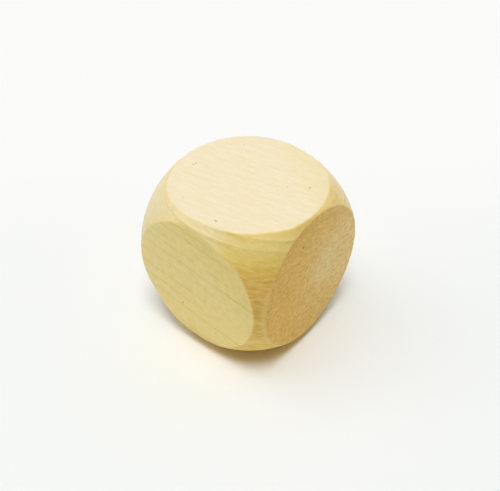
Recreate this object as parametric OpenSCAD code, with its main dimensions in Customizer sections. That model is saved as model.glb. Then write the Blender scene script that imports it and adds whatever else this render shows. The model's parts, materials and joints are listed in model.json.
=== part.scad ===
// Wooden cube with ball-rounded corners, one solid block of pale, close-grained hardwood.
// The block is sawn square and its corners and edges are then taken back to one ball, so each
// face keeps a flat disc and the ball's surface runs between the discs as one curved band.
// The ball isn't quite centred in the block, so the discs differ a little in diameter.
// Millimetres, +Z up. The origin is the middle of the square that the block was sawn to, at
// the level of its lower face, and the grain of the wood runs along X.

/* [Block] */
// Distance between opposite faces
side = 30; // [20:1:60]

/* [Corner ball] */
// How far the ball takes the middle of each edge back from where two faces would meet
edge_cut = 1.3; // [1:0.1:3]
// How far the ball's centre lies from the block's middle along X, towards one end-grain face
ball_shift_x = 0.55; // [-1:0.05:1]
// How far the ball's centre lies from the block's middle along Y
ball_shift_y = 0; // [-1:0.05:1]
// How far the ball's centre lies above the block's middle
ball_shift_z = 0.8; // [-1:0.05:1]

/* [Rims] */
// Radius of the rounding where each flat disc meets the ball
rim_r = 0.7; // [0.3:0.05:1.2]

/* [Hidden] */
$fn = 128;
half_side = side / 2;
ball_r = half_side * sqrt(2) - edge_cut;
ball_shift = [ball_shift_x, ball_shift_y, ball_shift_z];
// How far each rim's rounding stands through the flat and the ball, so that it crosses both
// at a clear angle. It is too small to see or feel.
rim_lap = 0.002;
pale_wood = [0.93, 0.85, 0.64];

// Section of one flat and its rim, with the flat at this level above the ball's centre. The
// rim is rounded by a circle that the flat and the ball both just cut. From the circle a
// straight side slopes out to the centre's level, and stays clear of the ball all the way.
module flat_section(level) {
    inset = rim_r - rim_lap;
    middle = [sqrt(pow(ball_r - inset, 2) - pow(level - inset, 2)), level - inset];
    outward = middle / norm(middle);
    slope = outward.y / outward.x;
    touch = middle + rim_r * outward;
    corner = [touch.x - slope * (level - touch.y), level];
    foot = [touch.x + slope * touch.y, 0];
    difference() {
        polygon([[0, 0], [0, level], corner, foot]);
        difference() {
            polygon([middle, [middle.x, level + rim_r], [touch.x, level + rim_r], touch]);
            translate(middle) circle(rim_r);
        }
    }
}

// Two opposite flats with their rims, facing both ways along Z. Each lies half a side from the
// block's middle, and shift is how far the ball's centre is from that middle along this axis.
module opposite_flats(shift) {
    rotate_extrude() {
        flat_section(half_side - shift);
        mirror([0, 1]) flat_section(half_side + shift);
    }
}

// The block: what the ball and the three pairs of flats have in common
module wooden_cube() {
    color(pale_wood)
    translate([0, 0, half_side] + ball_shift)
    intersection() {
        sphere(ball_r);
        opposite_flats(ball_shift.z);
        rotate([0, 90, 0]) opposite_flats(ball_shift.x);
        rotate([-90, 0, 0]) opposite_flats(ball_shift.y);
    }
}

wooden_cube();
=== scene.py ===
"""Wooden cube: one block of pale, close-grained hardwood, sawn square, its corners turned to a ball.

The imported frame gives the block's sides, the middle of its corner ball and the ball's radius. The block is
one closed surface of six patches, one for each face. Its wood is a solid material that runs through the
block in the wood's own directions: along the fibres, across them, and up through the growth rings.
"""

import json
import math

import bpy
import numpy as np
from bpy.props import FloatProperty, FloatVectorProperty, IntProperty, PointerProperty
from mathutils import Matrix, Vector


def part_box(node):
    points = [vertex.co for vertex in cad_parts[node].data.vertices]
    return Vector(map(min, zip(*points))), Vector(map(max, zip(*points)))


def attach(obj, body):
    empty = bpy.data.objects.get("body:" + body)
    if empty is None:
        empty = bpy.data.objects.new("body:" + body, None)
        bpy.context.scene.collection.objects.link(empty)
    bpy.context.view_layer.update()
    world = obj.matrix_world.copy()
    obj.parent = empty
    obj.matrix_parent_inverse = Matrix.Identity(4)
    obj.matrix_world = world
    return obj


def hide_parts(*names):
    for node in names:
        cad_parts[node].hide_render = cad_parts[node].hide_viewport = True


bl_info = {
    "name": "Wooden Cube",
    "version": (1, 0, 0),
    "blender": (4, 5, 0),
    "location": "3D View > Sidebar > Wooden Cube",
    "description": "Builds a hardwood cube with ball-rounded corners, and a plain studio for it",
    "category": "Mesh",
}

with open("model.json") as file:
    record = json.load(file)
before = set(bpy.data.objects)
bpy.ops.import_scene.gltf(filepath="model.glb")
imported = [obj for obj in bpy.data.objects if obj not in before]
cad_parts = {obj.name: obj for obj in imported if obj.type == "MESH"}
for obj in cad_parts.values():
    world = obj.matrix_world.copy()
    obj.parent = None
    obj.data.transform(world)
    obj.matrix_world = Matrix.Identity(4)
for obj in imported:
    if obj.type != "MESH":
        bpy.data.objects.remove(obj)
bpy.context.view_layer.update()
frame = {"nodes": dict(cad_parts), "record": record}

CAD_NODE = "wooden_cube"
MM = 0.001
AXES = (0, 1, 2)
SIDES = (1, -1)


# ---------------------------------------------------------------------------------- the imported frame


def mount_place(name):
    """The middle of one of the record's flat faces, in metres."""
    return next(m["pos_m"] for m in frame["record"]["mounts"] if m["name"] == name)


def ball_centre():
    """The point that every disc's axis passes through."""
    upper, front = mount_place("upper_face"), mount_place("front_face")
    return Vector((upper[0], upper[1], front[2]))


def ball_radius():
    """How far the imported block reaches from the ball's centre."""
    mesh = frame["nodes"][CAD_NODE].data
    corners = np.empty(len(mesh.vertices) * 3)
    mesh.vertices.foreach_get("co", corners)
    return float(np.linalg.norm(corners.reshape(-1, 3) - np.array(ball_centre()), axis=1).max())


# ------------------------------------------------------------------------------------------ settings


class BlockSettings(bpy.types.PropertyGroup):
    """Sizes of the block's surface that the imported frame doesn't give"""

    rim_radius: FloatProperty(
        name="Rim radius",
        description="Radius of the rounding between a flat disc and the ball",
        default=0.7 * MM,
        min=0.2 * MM,
        max=1.2 * MM,
        precision=5,
        unit="LENGTH",
    )
    disc_rings: IntProperty(
        name="Disc rings",
        description="Rings of faces from the middle of a disc to its rim",
        default=44,
        min=8,
        max=60,
    )
    rim_rings: IntProperty(
        name="Rim rings",
        description="Rings of faces round the rounded rim",
        default=8,
        min=2,
        max=16,
    )
    ball_rings: IntProperty(
        name="Ball rings",
        description="Rings of faces from the rim to the seam with the next patch",
        default=8,
        min=2,
        max=16,
    )


def colour_value(name, description, default):
    """A colour that the user can change."""
    limits = {"min": 0.0, "max": 1.0, "size": 3, "subtype": "COLOR"}
    return FloatVectorProperty(name=name, description=description, default=default, **limits)


class WoodSettings(bpy.types.PropertyGroup):
    """Colours and direction of the wood, some colours partly painted light, shade, sheen and highlight"""

    flat_colour: colour_value(
        "Flat-sawn face", "The upper disc, which lies along the rings", (0.880, 0.762, 0.515)
    )
    flat_tint: colour_value("Yellowed flat face", "The upper disc, at the back right", (0.858, 0.728, 0.437))
    # Partly painted shade: on the lower band this golden colour stands in for the shade under the ball.
    underside_colour: colour_value(
        "Underside", "The lower disc, and the lower band at the back", (0.870, 0.675, 0.270)
    )
    side_colour: colour_value(
        "Quarter-sawn face", "The front and back discs, which cross the rings", (0.930, 0.750, 0.293)
    )
    side_tint: colour_value(
        "Yellowed quarter face", "The same discs, high on the right", (0.888, 0.702, 0.243)
    )
    # Painted light: the quarter-sawn discs made paler towards the far end.
    side_pale: colour_value("Pale quarter face", "The same discs, at the far end", (0.965, 0.785, 0.343))
    side_low: colour_value("Low quarter face", "The same discs, lower down", (0.955, 0.758, 0.290))
    edge_colour: colour_value("Lower edge", "The same discs, next to the lower band", (0.845, 0.650, 0.205))
    end_colour: colour_value("End grain", "The discs across the fibres, at the front", (0.830, 0.515, 0.113))
    end_pale: colour_value("Rubbed end grain", "The same discs, at the back", (0.910, 0.655, 0.255))
    # Partly painted light and sheen: the far bands' paler, creamier tone.
    far_colour: colour_value("Far band", "The turned bands at the far end", (0.927, 0.793, 0.478))
    straw_colour: colour_value("Straw band", "The turned bands halfway along", (0.835, 0.700, 0.365))
    gold_colour: colour_value("Golden band", "The turned bands at the near end", (0.790, 0.592, 0.190))
    amber_colour: colour_value(
        "Amber band", "The bands at the near end, towards the back", (0.900, 0.675, 0.250)
    )
    # Partly painted light and sheen: the paler, creamier tone of the upper bands at the back.
    cream_colour: colour_value(
        "Cream band", "The upper bands at the near end, at the back", (0.990, 0.820, 0.480)
    )
    # Painted shade: the deep golden tone next to the floor, which also warms the floor's shadow by its
    # bounce.
    shaded_foot_colour: colour_value("Foot", "The lower band in front, next to the floor", (0.970, 0.610, 0.050))
    line_colour: colour_value(
        "Growth line", "What a year's dark line multiplies the wood by", (0.660, 0.570, 0.040)
    )
    stain_colour: colour_value("Stain", "The stains on the upright front corner", (0.500, 0.290, 0.050))
    scuff_colour: colour_value("Scuff", "The scratched part of the end grain", (0.990, 0.880, 0.490))
    # Painted shade: the darker brown just inside the end grain's upper front rim.
    rim_shade_colour: colour_value("Brown edge", "The end grain's upper front edge", (0.620, 0.330, 0.060))
    # Painted highlight: the pale line along the end grain's lower front rim.
    rim_highlight_colour: colour_value("Pale edge", "The end grain's lower front rim", (1.000, 0.800, 0.460))
    fleck_colour: colour_value("Mineral fleck", "The small dark flecks", (0.330, 0.130, 0.000))
    ring_fall: FloatVectorProperty(
        name="Ring fall",
        description="How far the growth rings fall for each unit along +X and along +Y",
        default=(0.13, 0.114),
        size=2,
        min=-0.5,
        max=0.5,
    )
    fibre_turn: FloatProperty(
        name="Fibre turn",
        description="How far the fibres swing towards +Y for each unit along +X",
        default=0.14,
        min=-0.5,
        max=0.5,
    )
    roughness: FloatProperty(
        name="Roughness",
        description="Roughness of the sanded wood away from the end grain, which is rougher",
        default=0.52,
        min=0.2,
        max=1.0,
        subtype="FACTOR",
    )
    shine: FloatProperty(
        name="Shine",
        description="Strength of the bare wood's faint shine",
        default=0.35,
        min=0.0,
        max=1.0,
        subtype="FACTOR",
    )
    relief_depth: FloatProperty(
        name="Relief depth",
        description="Depth of the fibres, cells and pores in the surface",
        default=0.02 * MM,
        min=0.0,
        max=0.2 * MM,
        precision=6,
        unit="LENGTH",
    )


def lamp_power(lamp, which, default):
    """The power of one of the studio's lamps."""
    limits = {"min": 0.0, "max": 100.0, "unit": "POWER"}
    return FloatProperty(name=f"{lamp} power", description=f"Power of {which}", default=default, **limits)


def lamp_size(lamp, default):
    """The diameter of one of the studio's lamps."""
    limits = {"min": 0.01, "max": 4.0, "subtype": "DISTANCE", "unit": "LENGTH"}
    about = "Diameter of the lamp's disc"
    return FloatProperty(name=f"{lamp} size", description=about, default=default, **limits)


def lamp_direction(lamp, default):
    """Where one of the studio's lamps stands."""
    limits = {"size": 3, "subtype": "DIRECTION"}
    about = "Where the lamp stands, as seen from the block's foot"
    return FloatVectorProperty(name=f"{lamp} direction", description=about, default=default, **limits)


class StageSettings(bpy.types.PropertyGroup):
    """Studio floor, light and camera"""

    floor_colour: FloatVectorProperty(
        name="Floor",
        description="Colour of the floor where it takes light and shadow",
        default=(0.884, 0.902, 0.894),
        size=3,
        min=0.0,
        max=1.0,
        subtype="COLOR",
    )
    backdrop_colour: FloatVectorProperty(
        name="Backdrop",
        description="Colour that the room shows to the eye, and the floor where it is even",
        default=(0.985, 0.985, 0.97),
        size=3,
        min=0.0,
        max=1.0,
        subtype="COLOR",
    )
    floor_roughness: FloatProperty(
        name="Floor roughness",
        description="Roughness of the floor",
        default=0.65,
        min=0.2,
        max=1.0,
        subtype="FACTOR",
    )
    floor_reach: FloatProperty(
        name="Floor reach",
        description="How far the floor goes out from the block's foot on each side",
        default=3.0,
        min=0.5,
        max=20.0,
        subtype="DISTANCE",
        unit="LENGTH",
    )
    front_evenness: FloatProperty(
        name="Evenness in front",
        description="Share of the floor's look, in front of the block, that no shadow darkens",
        default=0.0,
        min=0.0,
        max=1.0,
        subtype="FACTOR",
    )
    back_evenness: FloatProperty(
        name="Evenness behind",
        description="Share of the floor's look, behind the block, that no shadow darkens",
        default=0.8,
        min=0.0,
        max=1.0,
        subtype="FACTOR",
    )
    sky_strength: FloatProperty(
        name="Sky strength",
        description="Strength of the even white light from all round",
        default=0.15,
        min=0.0,
        max=2.0,
    )
    key_power: lamp_power("Key lamp", "the wide lamp nearly overhead", 6.05)
    key_size: lamp_size("Key lamp", 0.8)
    key_direction: lamp_direction("Key lamp", (0.084, -0.175, 1.0))
    front_power: lamp_power("Front lamp", "the smaller lamp high over the front corner", 7.55)
    front_size: lamp_size("Front lamp", 0.5)
    front_direction: lamp_direction("Front lamp", (0.184, -0.220, 1.0))
    window_power: lamp_power("Window lamp", "the lamp on the left, like a high window", 5.25)
    window_size: lamp_size("Window lamp", 1.2)
    window_direction: lamp_direction("Window lamp", (-0.566, -0.264, 1.0))
    back_power: lamp_power("Back lamp", "the wide lamp high behind the block", 3.95)
    back_size: lamp_size("Back lamp", 2.0)
    back_direction: lamp_direction("Back lamp", (0.0, 0.577, 1.0))
    lamp_distance: FloatProperty(
        name="Lamp distance",
        description="Distance from each lamp to the block's foot",
        default=1.5,
        min=0.1,
        max=5.0,
        subtype="DISTANCE",
        unit="LENGTH",
    )
    aim: FloatVectorProperty(
        name="Camera aim",
        description="Point that the camera looks at",
        default=(0.895 * MM, -0.174 * MM, 15.4 * MM),
        size=3,
        precision=5,
        subtype="TRANSLATION",
        unit="LENGTH",
    )
    azimuth: FloatProperty(
        name="Camera azimuth",
        description="Turn of the camera round the block, from the front towards the right",
        default=math.radians(39.02),
        subtype="ANGLE",
    )
    elevation: FloatProperty(
        name="Camera elevation",
        description="Height of the camera above the level of the block's middle, as an angle",
        default=math.radians(41.58),
        subtype="ANGLE",
    )
    distance: FloatProperty(
        name="Camera distance",
        description="Distance from the camera to the point that it aims at",
        default=136.6 * MM,
        min=0.05,
        max=2.0,
        subtype="DISTANCE",
        unit="LENGTH",
    )
    lens: FloatProperty(
        name="Lens",
        description="Focal length on a sensor 36 mm wide",
        default=52.83,
        min=20.0,
        max=200.0,
        subtype="DISTANCE_CAMERA",
    )


# ------------------------------------------------------------------------------- the block's surface


# The ball was ground by hand, so it isn't quite round. A row holds a direction from its middle, how widely
# the swelling or hollow spreads about it, and its height in mm.
SWELLINGS = (
    ((0.15, 0.80, 0.58), 0.035, -0.42),
    ((-0.50, 0.40, 0.76), 0.050, 0.24),
    ((0.00, -0.76, -0.65), 0.020, -0.22),
    ((-0.46, -0.80, -0.37), 0.025, -0.36),
    ((0.06, -0.70, 0.71), 0.010, -0.28),
    ((0.64, -0.25, 0.72), 0.012, 0.28),
    ((-0.45, -0.55, 0.71), 0.010, 0.18),
    ((0.47, -0.75, 0.46), 0.008, 0.22),
    ((0.27, -0.75, 0.60), 0.008, -0.20),
)


def ball_reach(radius, directions):
    """How far the ball reaches along each unit direction: its radius, with smooth swellings and hollows.

    Each is a bell curve in the cosine of the angle from the row's direction.
    """
    reach = np.full(directions.shape[:-1], radius)
    for towards, spread, rise in SWELLINGS:
        nearness = directions @ np.array(Vector(towards).normalized())
        reach += rise * MM * np.exp((nearness - 1) / spread)
    return reach


def seam_direction(axis, side, azimuth, weights):
    """The direction, from the ball's centre, of the patch's edge at each azimuth of its own scaled square."""
    across = [a for a in AXES if a != axis]
    x, y = np.cos(azimuth), np.sin(azimuth)
    reach = np.maximum(abs(x), abs(y))
    d = np.empty(azimuth.shape + (3,))
    d[..., axis] = side * weights[axis, side]
    for a, share in zip(across, (x / reach, y / reach)):
        d[..., a] = share * np.where(share > 0, weights[a, 1], weights[a, -1])
    return d / np.linalg.norm(d, axis=-1, keepdims=True)


def square_rings(last):
    """A square grid's ring numbers, counted out from its middle, and the azimuth of each of its points.

    Each square ring is bent to a circle: a step along the square's side is the same turn everywhere.
    """
    step = np.arange(-last, last + 1)
    u, v = np.meshgrid(step, step, indexing="ij")
    ring = np.maximum(abs(u), abs(v))
    wide = abs(u) >= abs(v)
    bend = np.tan(np.where(wide, v, u) / np.maximum(ring, 1) * math.pi / 4)
    sideways = np.arctan2(bend, np.where(u < 0, -1, 1))
    upwards = np.arctan2(np.where(v < 0, -1, 1), bend)
    return ring, np.where(wide, sideways, upwards)


def face_patch(axis, side, level, radius, rim, rings, weights):
    """One face's share of the block, as a square grid of points with their normals and markings.

    The grid's squares become rings round the face's axis. The first rings lie on the flat disc, evenly spaced
    out to where the rim starts. The next run round the rim, an arc that touches the disc and the ball. The
    last spread along the ball to the seam, where its direction leans as far to one face as to the next.
    """
    disc_rings, rim_rings, ball_rings = rings
    ring, azimuth = square_rings(disc_rings + rim_rings + ball_rings)
    seam = seam_direction(axis, side, azimuth, weights)
    seam_lean = np.arccos(np.clip(side * seam[..., axis], -1, 1))
    outward = seam.copy()
    outward[..., axis] = 0
    outward /= np.linalg.norm(outward, axis=-1, keepdims=True)

    towards = np.zeros(3)
    towards[axis] = side
    round_rim = math.acos(level / radius)
    local = ball_reach(radius, math.sin(round_rim) * outward + math.cos(round_rim) * towards)
    rim_middle = np.sqrt((local - rim) ** 2 - (level - rim) ** 2)
    rim_lean = np.arctan2(rim_middle, level - rim)
    on_disc = np.clip(ring / disc_rings, 0, 1)
    on_rim = np.clip((ring - disc_rings) / rim_rings, 0, 1)
    on_ball = np.clip((ring - disc_rings - rim_rings) / ball_rings, 0, 1)
    lean = rim_lean * on_rim + (seam_lean - rim_lean) * on_ball
    directions = np.sin(lean)[..., None] * outward + np.cos(lean)[..., None] * towards
    reach = local + (ball_reach(radius, directions) - local) * on_ball
    across = np.where(on_ball > 0, reach * np.sin(lean), rim_middle * on_disc + rim * np.sin(lean))
    up = np.where(on_ball > 0, reach * np.cos(lean), level - rim + rim * np.cos(lean))
    points = across[..., None] * outward + up[..., None] * towards
    from_rim = np.where(on_ball > 0, radius * (lean - rim_lean), np.minimum(across - rim_middle, 0.0))
    return points, directions, from_rim, on_rim


def build_block(context):
    """Makes the block's mesh from its six patches, joined along their seams, with each point's markings."""
    block = context.scene.block_settings
    low, high = (np.array(corner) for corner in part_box(CAD_NODE))
    centre, radius = np.array(ball_centre()), ball_radius()
    levels = {(a, s): s * ((high if s > 0 else low)[a] - centre[a]) for a in AXES for s in SIDES}
    rings = (block.disc_rings, block.rim_rings, block.ball_rings)
    leans = {face: math.acos(level / radius) for face, level in levels.items()}
    weights = {face: 1 / math.sqrt(math.tan(lean)) for face, lean in leans.items()}
    patches = [face_patch(*face, levels[face], radius, block.rim_radius, rings, weights) for face in levels]
    steps = patches[0][0].shape[0]
    corner = np.arange(steps * steps).reshape(steps, steps)
    quads = []
    for number, (axis, side) in enumerate(levels):
        ring_round = [corner[:-1, :-1], corner[1:, :-1], corner[1:, 1:], corner[:-1, 1:]]
        outwards = side if axis != 1 else -side
        order = ring_round if outwards > 0 else ring_round[::-1]
        quads.append(np.stack(order, axis=-1).reshape(-1, 4) + number * steps * steps)
    points = np.concatenate([p[0].reshape(-1, 3) for p in patches])
    normals = np.concatenate([p[1].reshape(-1, 3) for p in patches])
    from_rim = np.concatenate([p[2].reshape(-1) for p in patches])
    turned = np.concatenate([p[3].reshape(-1) for p in patches])
    quads = np.concatenate(quads)
    _, first, joined = np.unique(np.round(points, 8), axis=0, return_index=True, return_inverse=True)
    mesh = bpy.data.meshes.new("wood_block")
    mesh.from_pydata((points[first] + centre).tolist(), [], joined.reshape(-1)[quads].tolist())
    mesh.polygons.foreach_set("use_smooth", np.ones(len(quads), dtype=bool))
    mark(mesh, "cut", "FLOAT_VECTOR", normals[first] ** 2)
    mark(mesh, "turned", "FLOAT", turned[first])
    mark(mesh, "from_rim", "FLOAT", from_rim[first] / MM)
    mesh.validate()
    mesh.update()
    piece = bpy.data.objects.new("wood_block", mesh)
    context.scene.collection.objects.link(piece)
    return piece


def mark(mesh, name, kind, values):
    """Stores one value for each point of the mesh, for the material to read."""
    attribute = mesh.attributes.new(name, kind, "POINT")
    key = "vector" if kind == "FLOAT_VECTOR" else "value"
    attribute.data.foreach_set(key, np.ascontiguousarray(values, dtype=np.float32).reshape(-1))


# ----------------------------------------------------------------------------------- shader building


class Signal:
    """An output of a node. Sums, differences and products of signals add their Math nodes."""

    def __init__(self, graph, socket):
        self.graph = graph
        self.socket = socket

    def __getitem__(self, name):
        return Signal(self.graph, self.socket.node.outputs[name])

    def maths(self, operation, first, second=0.0):
        """Works on one or two numbers."""
        return self.graph.add("ShaderNodeMath", {"operation": operation}, {0: first, 1: second})

    def __add__(self, other):
        return self.maths("ADD", self, other)

    def __radd__(self, other):
        return self.maths("ADD", other, self)

    def __sub__(self, other):
        return self.maths("SUBTRACT", self, other)

    def __rsub__(self, other):
        return self.maths("SUBTRACT", other, self)

    def __mul__(self, other):
        return self.maths("MULTIPLY", self, other)

    def __rmul__(self, other):
        return self.maths("MULTIPLY", other, self)

    def __abs__(self):
        return self.maths("ABSOLUTE", self)

    def fraction(self):
        return self.maths("FRACT", self)

    def at_least(self, low):
        return self.maths("MAXIMUM", self, low)

    def at_most(self, high):
        return self.maths("MINIMUM", self, high)

    def rise(self, start, end, low=0.0, high=1.0):
        """A smooth step from low, where the signal is at start, to high, where it is at end."""
        sockets = {"Value": self, "From Min": start, "From Max": end, "To Min": low, "To Max": high}
        return self.graph.add("ShaderNodeMapRange", {"interpolation_type": "SMOOTHSTEP"}, sockets)


class Graph:
    """A node tree that is filled by one call for each node."""

    def __init__(self, tree):
        self.tree = tree
        self.tree.nodes.clear()

    def add(self, kind, settings, sockets, output=0):
        """Adds a node, sets it, then gives its sockets values or links. A ramp's stops are a setting."""
        node = self.tree.nodes.new(kind)
        for name, value in settings.items():
            if name == "stops":
                self.set_stops(node.color_ramp, value)
            else:
                setattr(node, name, value)
        for name, value in sockets.items():
            if isinstance(value, Signal):
                self.tree.links.new(value.socket, node.inputs[name])
            else:
                node.inputs[name].default_value = value
        return Signal(self, node.outputs[output]) if len(node.outputs) else node

    @staticmethod
    def set_stops(ramp, stops):
        """Puts a grey level or a colour at each place along the ramp."""
        while len(ramp.elements) > 1:
            ramp.elements.remove(ramp.elements[-1])
        for place, level in stops:
            stop = ramp.elements[0] if place == stops[0][0] else ramp.elements.new(place)
            stop.position = place
            stop.color = (level, level, level, 1.0) if isinstance(level, float) else (*level, 1.0)

    def noise(self, vector, detail, roughness):
        """Soft noise about nought, from about -1 to 1, one cell to each unit of the vector."""
        sockets = {"Vector": vector, "Scale": 1.0, "Detail": detail, "Roughness": roughness}
        return self.add("ShaderNodeTexNoise", {}, sockets) * 2.0 - 1.0

    def vector_maths(self, operation, first, second, third=(0.0, 0.0, 0.0), output="Vector"):
        """Works on whole vectors or colours, and so keeps a colour's channels apart."""
        sockets = {0: first, 1: second, 2: third}
        return self.add("ShaderNodeVectorMath", {"operation": operation}, sockets, output)

    def stretch(self, vector, scales):
        """Scales each of the vector's three numbers."""
        return self.vector_maths("MULTIPLY", vector, scales)

    def parts(self, vector):
        """The three numbers of a vector."""
        split = self.add("ShaderNodeSeparateXYZ", {}, {0: vector})
        return split, split["Y"], split["Z"]

    def mix(self, factor, first, second, blend="MIX"):
        """Goes from the first colour to the second as the factor goes from 0 to 1."""
        colours = [c if isinstance(c, Signal) else (*c, 1.0) for c in (first, second)]
        settings = {"data_type": "RGBA", "blend_type": blend, "clamp_factor": True}
        return self.add("ShaderNodeMix", settings, {0: factor, 6: colours[0], 7: colours[1]}, output=2)

    def vary(self, colour, amount, tint):
        """Lightens or darkens a colour by the amount, times the tint in each channel."""
        share = self.add("ShaderNodeVectorMath", {"operation": "SCALE"}, {0: tint, "Scale": amount})
        return self.vector_maths("MULTIPLY_ADD", colour, share, colour)

    def ramp(self, signal, stops):
        """Reads a ramp of grey levels or colours at the signal, which runs from 0 to 1."""
        return self.add("ShaderNodeValToRGB", {"stops": stops}, {0: signal})

    def dot(self, vector, direction):
        """How far the vector reaches along the direction."""
        return self.vector_maths("DOT_PRODUCT", vector, direction, output="Value")

    def away(self, vector, middle):
        """The distance from the vector to the middle."""
        return self.vector_maths("DISTANCE", vector, middle, output="Value")


# ------------------------------------------------------------------------------------------ the wood

# Each year's growth ends in a thin darker line. A row holds the line's height above the ball's middle, in mm,
# at the far end of the block and at its near end, and how strong the line is at those two ends.
GROWTH_LINES = (
    (-19.4, -19.4, 0.3, 0.4),
    (-17.2, -17.2, 0.6, 0.3),
    (-15.0, -15.0, 0.3, 0.5),
    (-13.0, -13.0, 0.5, 0.4),
    (-11.0, -11.0, 0.0, 0.0),
    (-8.8, -8.8, 0.5, 0.85),
    (-6.4, -6.4, 0.65, 0.0),
    (-3.8, -3.8, 0.5, 0.1),
    (-0.5, -0.5, 0.35, 0.05),
    (1.9, 1.9, 0.6, 1.2),
    (4.1, 4.1, 0.75, 0.15),
    (5.75, 5.75, 0.5, 0.1),
    (8.0, 8.0, 0.65, 0.6),
    (9.8, 9.8, 0.95, 0.5),
    (10.9, 12.1, 1.0, 0.8),
    (13.0, 13.4, 0.8, 1.1),
    (15.3, 15.3, 0.4, 0.4),
    (17.6, 17.6, 0.4, 0.4),
)

# What a line of strength 1 comes to. Then how dark or pale a year's growth is, from halfway below its line,
# at 0, to halfway above it, at 1.
LINE_DEPTH = 0.7
THIN_LINE = ((0.0, 0.0), (0.32, 0.0), (0.45, 0.8), (0.5, 1.0), (0.56, 0.8), (0.68, 0.0))
BROAD_LINE = ((0.0, 0.15), (0.2, 0.3), (0.34, 0.7), (0.43, 1.0), (0.49, 1.0), (0.64, 0.0), (0.75, 0.0))
PALE_LINE = ((0.56, 0.0), (0.64, 1.0), (0.70, 0.5), (0.82, 0.0))

# The wood's marks. A row holds how many there are to a mm along the fibres, across them and up through the
# rings, and then how many finer sizes of them are added, and how strong those are.
MARKS = {
    "wander": ((0.05, 0.12, 0.12), 2.0, 0.5),
    "ripple": ((0.30, 0.7, 0.6), 2.0, 0.5),
    "patches": ((0.14, 0.4, 0.25), 2.0, 0.5),
    "breaks": ((0.5, 1.0, 0.8), 2.0, 0.5),
    "border": ((0.4, 0.9, 0.9), 1.0, 0.5),
    "streaks": ((0.24, 1.4, 0.9), 3.0, 0.6),
    "threads": ((0.35, 4.0, 4.0), 3.0, 0.6),
    "layers": ((0.12, 0.30, 1.3), 2.0, 0.6),
    "strokes": ((0.45, 0.7, 2.6), 2.0, 0.6),
    "cells": ((0.5, 1.3, 2.7), 3.0, 0.65),
    "rays": ((0.9, 2.9, 0.8), 1.0, 0.5),
    "mottle": ((0.10, 0.30, 0.35), 2.0, 0.5),
    "blotches": ((0.3, 0.8, 0.9), 1.0, 0.5),
    "pores": ((0.9, 6.0, 6.0), 1.0, 0.5),
}

# Where the pores' marks rise past the first of these a pore starts, and past the second it is at its deepest.
PORE_EDGE = (0.42, 0.62)

# The scratches on the end grain slant across it: their turn about the block's length, and how many there are
# to a mm in each direction once they are turned.
SCRATCH_TURN = -0.47
SCRATCHES = (0.9, 0.8, 2.9)

# How far broad marks, blotches and fine marks change the wood's red, green and blue.
BROAD_TINT = (0.8, 1.1, 2.2)
BLOTCH_TINT = (0.6, -1.0, -1.0)
FINE_TINT = (0.85, 1.5, 3.4)

# Small dark mineral flecks in the three faces in front: each row holds the fleck's place from the ball's
# middle and its half length, in mm, and how dark it is.
FLECKS = (
    ((2.7, -11.8, 14.2), 0.25, 0.62),
    ((2.4, -11.7, 14.2), 0.20, 0.4),
    ((-10.8, -1.8, 14.2), 0.26, 0.55),
    ((-10.9, -2.4, 14.2), 0.22, 0.5),
    ((9.3, 5.1, 14.2), 0.25, 0.55),
    ((6.1, 2.8, 14.2), 0.22, 0.3),
    ((5.5, 1.0, 14.2), 0.20, 0.25),
    ((-7.9, 8.2, 14.2), 0.22, 0.3),
    ((-5.7, -10.7, 14.2), 0.22, 0.25),
    ((-3.3, -15.0, -6.0), 0.28, 0.55),
    ((-3.5, -15.0, -6.5), 0.20, 0.2),
    ((-0.3, -15.0, -3.9), 0.22, 0.25),
    ((14.45, -3.6, 9.3), 0.30, 0.8),
    ((14.45, -11.7, 5.5), 0.20, 0.2),
    ((14.45, 4.2, 11.7), 0.26, 0.3),
    ((14.45, 3.2, 10.0), 0.22, 0.25),
    ((14.45, -3.3, 0.4), 0.22, 0.2),
    ((14.45, 4.6, -3.4), 0.24, 0.2),
)

# Darker stains down the middle of the upright front corner, in the same form.
STAINS = (
    ((13.5, -14.5, 8.0), 0.8, 0.25),
    ((13.5, -14.6, 6.8), 0.9, 0.35),
    ((13.5, -14.7, 4.4), 1.0, 0.4),
    ((13.5, -14.7, 2.2), 1.1, 0.5),
    ((13.6, -14.6, 0.8), 0.8, 0.3),
    ((13.5, -14.6, -1.2), 0.7, 0.25),
)

# Small paler scuffs near the middle of the near end grain, in the same form.
SCUFFS = (
    ((14.45, 1.1, -0.4), 1.6, 0.30),
    ((14.45, 3.9, 2.4), 1.3, 0.20),
    ((14.45, 6.2, 4.6), 1.5, 0.15),
    ((14.45, -1.2, 2.6), 1.2, 0.10),
)

# The colour of the upright front corner at each height above the ball's middle, in mm.
FRONT_CORNER = (
    # The lowest row, next to the floor, carries the foot's painted shade.
    (-13.5, (0.97, 0.61, 0.06)),
    (-11.0, (0.89, 0.61, 0.137)),
    (-8.5, (0.825, 0.565, 0.12)),
    (-6.0, (0.905, 0.63, 0.16)),
    (-3.0, (0.775, 0.505, 0.10)),
    (0.0, (0.793, 0.527, 0.105)),
    (3.0, (0.74, 0.475, 0.106)),
    (6.0, (0.69, 0.442, 0.098)),
    (8.5, (0.71, 0.455, 0.10)),
    (10.5, (0.717, 0.525, 0.13)),
    (12.5, (0.75, 0.59, 0.207)),
    (13.5, (0.78, 0.625, 0.23)),
)


def wood_axes(wood):
    """Unit vectors along the fibres, across them within a ring, and up through the rings."""
    fall_x, fall_y = wood.ring_fall
    up = Vector((fall_x, fall_y, 1.0)).normalized()
    along = Vector((1.0, wood.fibre_turn, -fall_x - wood.fibre_turn * fall_y)).normalized()
    return along, up.cross(along), up


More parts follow.
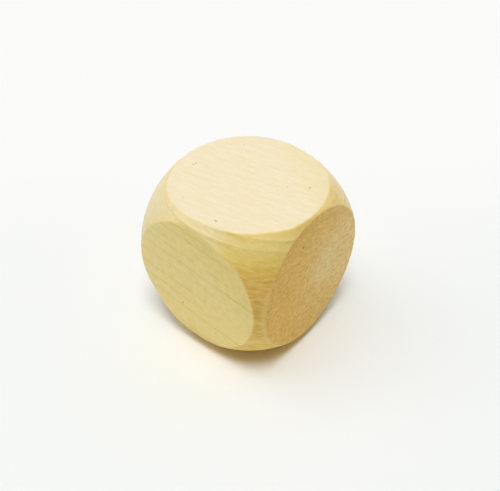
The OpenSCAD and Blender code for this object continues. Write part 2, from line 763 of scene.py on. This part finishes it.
class Place:
    """Where a point of the block is, on its sides and in its wood, in mm from the ball's middle.

    ends, sides and flats say which way the surface faces there and add up to 1. turned is 0 on the sawn discs
    and 1 on the ball, and flat the other way about. from_rim is the distance outwards from a disc's rim, and
    corner is 1 on the upright front corner.
    """

    def __init__(self, graph, wood):
        self.graph = graph
        centre = ball_centre()
        turn = Matrix(wood_axes(wood))
        metres = graph.add("ShaderNodeTexCoord", {}, {}, "Object")
        in_mm = {"Vector": metres, "Scale": (1 / MM,) * 3}
        self.on_block = graph.add("ShaderNodeMapping", {}, {**in_mm, "Location": -centre / MM})
        wood_spin = {"Location": -(turn @ centre) / MM, "Rotation": turn.to_euler()}
        self.in_wood = graph.add("ShaderNodeMapping", {}, {**in_mm, **wood_spin})
        self.x, self.y, self.z = graph.parts(self.on_block)
        self.along, _, self.height = graph.parts(self.in_wood)
        self.ends, self.sides, self.flats = graph.parts(self.marking("cut", "Vector"))
        self.turned = self.marking("turned", "Fac")
        self.from_rim = self.marking("from_rim", "Fac")
        self.flat = 1.0 - self.turned
        self.corner = (self.x - self.y).rise(19.0, 22.5)

    def marking(self, name, output):
        """One of the markings that the block's points carry."""
        return self.graph.add("ShaderNodeAttribute", {"attribute_name": name}, {}, output)

    def marks(self, name):
        """One of the wood's patterns of marks, about nought."""
        counts, detail, roughness = MARKS[name]
        return self.graph.noise(self.graph.stretch(self.in_wood, counts), detail, roughness)

    def scratches(self):
        """The slanting scratches, about nought."""
        turn = {"Vector": self.on_block, "Rotation": (SCRATCH_TURN, 0.0, 0.0)}
        slanted = self.graph.add("ShaderNodeMapping", {}, turn)
        return self.graph.noise(self.graph.stretch(slanted, SCRATCHES), 1.0, 0.5)

    def spots(self, rows):
        """Soft spots at named places: each fades out over the outer part of its half length."""
        marks = 0.0
        for middle, size, depth in rows:
            marks = self.graph.away(self.on_block, middle).rise(size, 0.4 * size, 0.0, depth) + marks
        return marks


def growth(graph, along, height):
    """Where each height lies in its year's growth, from 0 to 1 with the dark line halfway, and its strength.

    A ramp turns height into a count of lines, so the fraction of that count repeats once for each year,
    however wide the year is. The count and the nearest line's strength go smoothly from the far end's to the
    near end's.
    """
    far_heights, near_heights, *strengths = zip(*GROWTH_LINES)
    last = len(GROWTH_LINES) - 1
    lowest, highest = far_heights[0], far_heights[-1]
    span = highest - lowest
    share = (height - lowest) * (1 / span)
    counts = [
        [((line - lowest) / span, n / last) for n, line in enumerate(row)]
        for row in (far_heights, near_heights)
    ]
    far, near = [graph.ramp(share, stops) for stops in counts]
    blend = along.rise(-10.0, 10.0)
    count = (far + (near - far) * blend) * last + 0.5
    nearest = (count - count.fraction()) * (1 / last)
    depths = [[(n / last, LINE_DEPTH * strength) for n, strength in enumerate(row)] for row in strengths]
    far, near = [graph.ramp(nearest, stops) for stops in depths]
    return count.fraction(), far + (near - far) * blend


def growth_marks(graph, at):
    """How dark each year's line is, and how pale the new wood over it on the turned bands.

    The lines are thin where the saw crossed the rings. On the turned bands each year darkens upwards to a
    sharp edge.
    """
    wander = at.marks("wander") * 0.16 + at.marks("ripple") * (0.08 + 0.10 * at.turned)
    year, strength = growth(graph, at.along, at.height + wander)
    uneven = (at.marks("patches") * 0.9 + 1.0) * (at.marks("breaks") * at.turned * 1.1 + 1.0)
    lines = (strength * uneven).at_least(0.0)
    thin, broad, pale = [graph.ramp(year, stops) for stops in (THIN_LINE, BROAD_LINE, PALE_LINE)]
    on_discs = at.flat * thin * (at.sides * 0.42 + at.ends * 0.14)
    towards_near_end = at.x.rise(-10.0, 1.0, 0.06, 0.6) * at.y.rise(3.0, 9.0, 1.0, 0.4)
    on_bands = at.turned * broad * towards_near_end * (1.0 - 0.6 * at.corner)
    return lines * (on_discs + on_bands), pale * lines * at.turned * at.x.rise(-9.0, 2.0, 0.02, 0.10)


def disc_colours(graph, wood, at):
    """The colours of the sawn discs, each of which yellows or pales across its width."""
    x, y, z = at.x, at.y, at.z
    to_back_right = graph.dot(at.on_block, (0.7, 1.0, 0.0)).rise(6.0, 16.0)
    high_on_right = graph.dot(at.on_block, (0.5, 0.0, 0.5)).rise(2.0, 8.5)
    flat = graph.mix(to_back_right, wood.flat_colour, wood.flat_tint)
    flat = graph.mix(z.rise(0.0, -5.0), flat, wood.underside_colour)
    side = graph.mix(z.rise(1.0, -6.0), wood.side_colour, wood.side_low)
    side = graph.mix(high_on_right, side, wood.side_tint)
    # Painted light: the quarter-sawn discs grow paler towards the far end.
    side = graph.mix(x.rise(-6.0, -13.0), side, wood.side_pale)
    side = graph.mix(z.rise(-10.5, -13.5), side, wood.edge_colour)
    rubbed = y.rise(-8.0, 11.0) * abs(z).rise(3.0, 12.0, 1.0, 0.35)
    end = graph.mix(rubbed, wood.end_colour, wood.end_pale)
    return graph.mix(at.flats, graph.mix(at.ends, side, end), flat)


def band_colours(graph, wood, at):
    """The turned bands' colours: cream far off and at the back, gold near by, brown at the front corner."""
    x, y, z = at.x, at.y, at.z
    far, straw, gold = (tuple(colour) for colour in (wood.far_colour, wood.straw_colour, wood.gold_colour))
    far_end, length = -13.0, 26.0
    # The cream at the far end is partly painted light and sheen.
    stops = [(0.0, far), (0.30, straw), (0.64, straw), (0.85, gold)]
    band = graph.ramp((x - far_end) * (1 / length), stops)
    band = graph.mix(y.rise(-3.0, 4.0) * x.rise(4.0, 10.0), band, wood.amber_colour)
    # Partly painted light and sheen: cream on the upper bands at the back.
    band = graph.mix(y.rise(6.5, 11.5) * x.rise(2.0, 9.0) * z.rise(-3.0, 6.0), band, wood.cream_colour)
    low_down = z.rise(-10.0, -13.5)
    # Partly painted shade: the golden underside colour on the lower band, which lies in shade.
    band = graph.mix(low_down, band, wood.underside_colour)
    # Painted shade: the deep golden foot on the lower band in front.
    band = graph.mix(low_down * (x - y).rise(4.0, 17.0), band, wood.shaded_foot_colour)
    low, high = FRONT_CORNER[0][0], FRONT_CORNER[-1][0]
    column = [((height - low) / (high - low), colour) for height, colour in FRONT_CORNER]
    return graph.mix(at.corner, band, graph.ramp((z - low) * (1 / (high - low)), column))


def bare_wood(graph, wood, at):
    """The discs' and the bands' colours, with a border that is crisp but for the upper disc's far rim."""
    edge = at.marks("border")
    crisp = (at.turned + at.from_rim * 0.6 + edge * 0.35).rise(0.0, 1.0)
    # Painted highlight: at the upper disc's far rim the paler disc colour runs out over the rim onto the
    # ball.
    soft = (at.from_rim + edge * 0.6).rise(-0.6, 2.4)
    far_and_high = at.x.rise(4.0, -8.0) * at.z.rise(6.0, 12.0)
    share = crisp + (soft - crisp) * far_and_high
    return graph.mix(share, disc_colours(graph, wood, at), band_colours(graph, wood, at))


def wear_and_painted_rims(graph, wood, at, scratches, colour):
    """Adds end-grain scuffs, painted shade on its upper edge and highlight on its lower rim, and corner
    stains.
    """
    end_disc = at.ends * at.flat
    rubbed = graph.away(graph.stretch(at.on_block, (0.0, 1.0, 1.0)), (0.0, 4.2, 0.8)).rise(6.5, 0.5)
    scuffed = (0.45 + scratches.rise(0.0, 0.6)) * end_disc * (0.38 * rubbed + at.spots(SCUFFS))
    high_in_front = graph.dot(at.on_block, (0.0, -0.5, 0.5)).rise(1.0, 7.0)
    # Painted shade: darker and browner just inside the end grain's upper front rim.
    brown = at.from_rim.rise(-3.2, -0.3) * end_disc * high_in_front
    # Painted highlight: a pale line along the end grain's lower front rim.
    low_in_front = at.y.rise(-5.0, -9.0) * at.z.rise(8.0, 4.0)
    on_rim = at.from_rim.rise(-0.35, -0.05) * at.from_rim.rise(0.35, 0.0) * at.ends.rise(0.3, 0.6)
    colour = graph.mix(scuffed, colour, wood.scuff_colour)
    colour = graph.mix(brown * 0.20, colour, wood.rim_shade_colour)
    colour = graph.mix(on_rim * low_in_front * 0.16, colour, wood.rim_highlight_colour)
    return graph.mix(at.turned * at.spots(STAINS), colour, wood.stain_colour)


def make_wood(context):
    """Pale hardwood as a solid, with growth lines, fibres, pores, end grain and flecks that run through it.

    The flat-sawn discs show long streaks, the quarter-sawn ones threads and rays, the end grain its cells and
    layers with scratches over them, and the turned bands the strokes of the grinding.
    """
    wood = context.scene.wood_settings
    material = bpy.data.materials.new("pale_wood")
    material.use_nodes = True
    graph = Graph(material.node_tree)
    at = Place(graph, wood)
    end_disc, flat_disc = at.ends * at.flat, at.flats * at.flat
    streaks, threads, cells = at.marks("streaks"), at.marks("threads"), at.marks("cells")
    pores = at.marks("pores").rise(*PORE_EDGE)
    scratches = at.scratches()
    flecks = at.spots(FLECKS)

    dark, pale = growth_marks(graph, at)
    broad = (
        streaks * (0.014 + 0.024 * flat_disc)
        + at.marks("layers") * (at.turned * 0.03 + end_disc * 0.15)
        + at.marks("mottle") * (0.016 + at.turned * 0.035 + end_disc * 0.05)
        + pale
    )
    blotches = at.marks("blotches") * end_disc * 0.075
    fine = (
        streaks * (0.014 + 0.022 * flat_disc)
        + threads * (0.041 + 0.034 * at.sides + at.turned * at.x.rise(-10.0, -2.0, -0.012, 0.03))
        + at.marks("strokes") * at.turned * (0.09 + at.corner * at.z.rise(12.0, 7.0) * 0.22)
        + cells * end_disc * 0.32
        + scratches * end_disc * 0.15
        + at.marks("rays") * at.sides * at.flat * 0.06
        - pores * 0.04
    )
    colour = graph.mix(dark, bare_wood(graph, wood, at), wood.line_colour, "MULTIPLY")
    colour = graph.vary(colour, broad, BROAD_TINT)
    colour = graph.vary(colour, blotches, BLOTCH_TINT)
    colour = graph.vary(colour, fine, FINE_TINT)
    colour = wear_and_painted_rims(graph, wood, at, scratches, colour)
    colour = graph.mix(flecks, colour, wood.fleck_colour)

    relief = threads * 0.3 + cells * at.ends * 0.6 - pores * 0.5 - flecks
    bump_sockets = {"Strength": 0.6, "Distance": wood.relief_depth, "Height": relief}
    sockets = {
        "Base Color": colour,
        "Roughness": wood.roughness + 0.10 * at.ends + 0.05 * threads,
        "Normal": graph.add("ShaderNodeBump", {}, bump_sockets),
        "Specular IOR Level": wood.shine,
    }
    shader = graph.add("ShaderNodeBsdfPrincipled", {}, sockets)
    graph.add("ShaderNodeOutputMaterial", {}, {"Surface": shader})
    return material


# ---------------------------------------------------------------------------------------- the studio

# Straight away from the camera along the floor, and how far that way, in metres, the floor's look turns from
# the front's evenness to the back's. Then how far from the block it turns quite even all round.
AWAY_FROM_CAMERA = (-0.63, 0.78, 0.0)
TURN_TO_BACK = (-0.01, 0.06)
TURN_TO_EVEN = (0.12, 0.6)

WHITE = (1.0, 1.0, 1.0, 1.0)
SENSOR_WIDTH = 36.0  # mm


def seen_directly(graph):
    """1 on rays that show a surface to the eye, even in a gloss or through glass, and 0 on the rest."""
    path = graph.add("ShaderNodeLightPath", {}, {}, "Is Camera Ray")
    return (path + path["Is Glossy Ray"] + path["Is Transmission Ray"]).at_most(1.0)


def make_floor(context):
    """A wide pale floor that takes light and shadow near the block and in front of it.

    To the eye it turns by degrees into its own even paleness behind the block and far from it.
    """
    stage = context.scene.stage_settings
    reach = stage.floor_reach
    corners = [(-reach, -reach, 0.0), (reach, -reach, 0.0), (reach, reach, 0.0), (-reach, reach, 0.0)]
    mesh = bpy.data.meshes.new("floor")
    mesh.from_pydata(corners, [], [(0, 1, 2, 3)])
    material = bpy.data.materials.new("pale_floor")
    material.use_nodes = True
    graph = Graph(material.node_tree)
    paint = {"Base Color": (*stage.floor_colour, 1.0), "Roughness": stage.floor_roughness}
    matt = graph.add("ShaderNodeBsdfPrincipled", {}, paint)
    glow = graph.add("ShaderNodeEmission", {}, {"Color": (*stage.backdrop_colour, 1.0), "Strength": 1.0})
    place = graph.add("ShaderNodeTexCoord", {}, {}, "Object")
    behind = graph.dot(place, AWAY_FROM_CAMERA).rise(*TURN_TO_BACK, stage.front_evenness, stage.back_evenness)
    far_off = graph.away(place, (0.0, 0.0, 0.0)).rise(*TURN_TO_EVEN)
    seen = seen_directly(graph) * behind.at_least(far_off)
    surface = graph.add("ShaderNodeMixShader", {}, {0: seen, 1: matt, 2: glow})
    graph.add("ShaderNodeOutputMaterial", {}, {"Surface": surface})
    mesh.materials.append(material)
    floor = bpy.data.objects.new("floor", mesh)
    context.scene.collection.objects.link(floor)


def add_lamp(context, name, direction, size, power):
    """A soft round lamp that faces the block's foot from the given direction."""
    data = bpy.data.lights.new(name, "AREA")
    data.shape = "DISK"
    data.size = size
    data.energy = power
    lamp = bpy.data.objects.new(name, data)
    lamp.location = Vector(direction).normalized() * context.scene.stage_settings.lamp_distance
    lamp.rotation_euler = lamp.location.to_track_quat("Z", "Y").to_euler()
    context.scene.collection.objects.link(lamp)


def make_light(context):
    """A weak even sky and four soft lamps: two high in front, a window on the left and a wide one behind."""
    stage = context.scene.stage_settings
    world = bpy.data.worlds.new("studio")
    world.use_nodes = True
    context.scene.world = world
    graph = Graph(world.node_tree)
    sky = graph.add("ShaderNodeBackground", {}, {"Color": WHITE, "Strength": stage.sky_strength})
    wall = graph.add("ShaderNodeBackground", {}, {"Color": (*stage.backdrop_colour, 1.0), "Strength": 1.0})
    shown = graph.add("ShaderNodeMixShader", {}, {0: seen_directly(graph), 1: sky, 2: wall})
    graph.add("ShaderNodeOutputWorld", {}, {"Surface": shown})
    for lamp in ("key", "front", "window", "back"):
        direction, size, power = (getattr(stage, f"{lamp}_{part}") for part in ("direction", "size", "power"))
        add_lamp(context, f"{lamp}_lamp", direction, size, power)


def make_camera(context):
    """Puts the camera where it looks down on the block's front corner."""
    stage = context.scene.stage_settings
    level, height = math.cos(stage.elevation), math.sin(stage.elevation)
    away = Vector((math.sin(stage.azimuth) * level, -math.cos(stage.azimuth) * level, height))
    data = bpy.data.cameras.new("camera")
    data.sensor_width = SENSOR_WIDTH
    data.lens = stage.lens
    data.clip_start = 0.01
    camera = bpy.data.objects.new("camera", data)
    camera.location = Vector(stage.aim) + away * stage.distance
    camera.rotation_euler = away.to_track_quat("Z", "Y").to_euler()
    context.scene.collection.objects.link(camera)
    context.scene.camera = camera


# ------------------------------------------------------------------------------- operators and panel


class WOODENCUBE_OT_block(bpy.types.Operator):
    """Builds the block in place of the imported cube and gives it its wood"""

    bl_idname = "wooden_cube.block"
    bl_label = "Build Block"

    def execute(self, context):
        piece = build_block(context)
        piece.data.materials.append(make_wood(context))
        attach(piece, "root")
        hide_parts(CAD_NODE)
        return {"FINISHED"}


class WOODENCUBE_OT_studio(bpy.types.Operator):
    """Lays the pale floor and sets the soft light and the camera"""

    bl_idname = "wooden_cube.studio"
    bl_label = "Build Studio"

    def execute(self, context):
        context.scene.view_settings.view_transform = "Standard"
        make_floor(context)
        make_light(context)
        make_camera(context)
        return {"FINISHED"}


class WOODENCUBE_PT_panel(bpy.types.Panel):
    """Settings and build buttons of the wooden cube"""

    bl_idname = "WOODENCUBE_PT_panel"
    bl_label = "Wooden Cube"
    bl_space_type = "VIEW_3D"
    bl_region_type = "UI"
    bl_category = "Wooden Cube"

    def draw(self, context):
        for operator, groups in PANEL_ROWS:
            box = self.layout.box()
            for group in (getattr(context.scene, name) for name in groups):
                for setting in group.__annotations__:
                    box.prop(group, setting)
            box.operator(operator)


SETTINGS = {"block_settings": BlockSettings, "wood_settings": WoodSettings, "stage_settings": StageSettings}
CLASSES = (*SETTINGS.values(), WOODENCUBE_OT_block, WOODENCUBE_OT_studio, WOODENCUBE_PT_panel)
PANEL_ROWS = (
    ("wooden_cube.block", ("block_settings", "wood_settings")),
    ("wooden_cube.studio", ("stage_settings",)),
)


def register():
    for cls in CLASSES:
        bpy.utils.register_class(cls)
    for name, group in SETTINGS.items():
        setattr(bpy.types.Scene, name, PointerProperty(type=group))


def unregister():
    for name in SETTINGS:
        delattr(bpy.types.Scene, name)
    for cls in reversed(CLASSES):
        bpy.utils.unregister_class(cls)


def main():
    register()
    bpy.ops.wooden_cube.block()
    bpy.ops.wooden_cube.studio()


if __name__ == "__main__":
    main()
